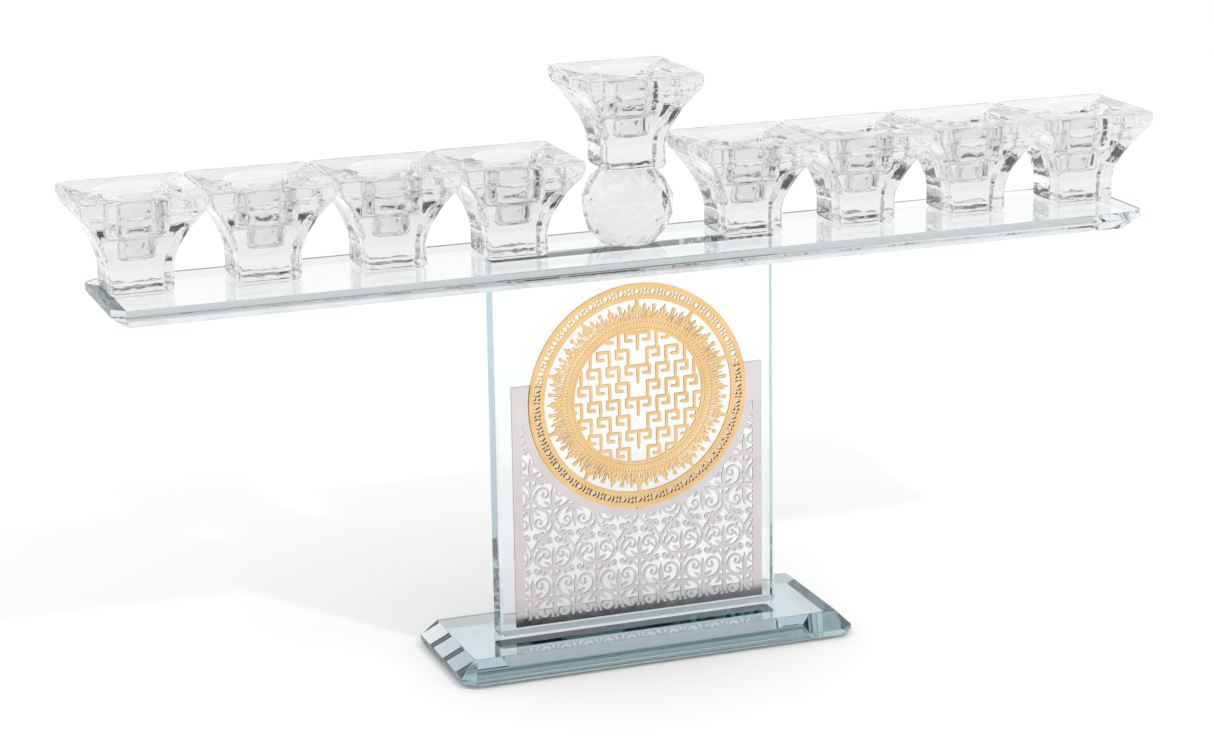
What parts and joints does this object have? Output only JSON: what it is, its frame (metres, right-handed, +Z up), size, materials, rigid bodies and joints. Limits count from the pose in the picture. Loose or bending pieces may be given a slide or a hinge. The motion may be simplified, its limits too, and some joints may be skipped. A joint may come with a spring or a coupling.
{
  "type": "menorah",
  "caption": "Crystal menorah: bevelled glass base, upright panel with pierced gold and silver plaques, long shelf carrying a row of square cups, the middle cup raised on a faceted ball.",
  "frame": {"origin": "bottom centre of the whole object, on the table, below the middle of the base", "axes": "+X along the shelf towards the viewer's right, -Y towards the viewer (the plaques face -Y), +Z up"},
  "size_m": [0.4316, 0.0628, 0.2282],
  "materials": {
    "bumper": "soft translucent pad",
    "mirror": "silvered underside",
    "float_glass": "polished, faint teal tint in its edges",
    "silver": "thin laser-cut sheet, satin to mirror",
    "gold": "thin laser-cut sheet, satin gold",
    "crystal": "clear, fire polished"
  },
  "bodies": {
    "root": {"bumper_1": "bumper", "bumper_2": "bumper", "bumper_3": "bumper", "bumper_4": "bumper", "mirror_backing": "mirror", "base_plate": "float_glass", "upright_panel": "float_glass", "silver_plaque": "silver", "gold_medallion": "gold", "shelf_plate": "float_glass", "candle_cup_1": "crystal", "candle_cup_2": "crystal", "candle_cup_3": "crystal", "candle_cup_4": "crystal", "candle_cup_5": "crystal", "candle_cup_6": "crystal", "candle_cup_7": "crystal", "candle_cup_8": "crystal", "shamash_ball": "crystal", "shamash_cup": "crystal"}
  },
  "joints": []
}
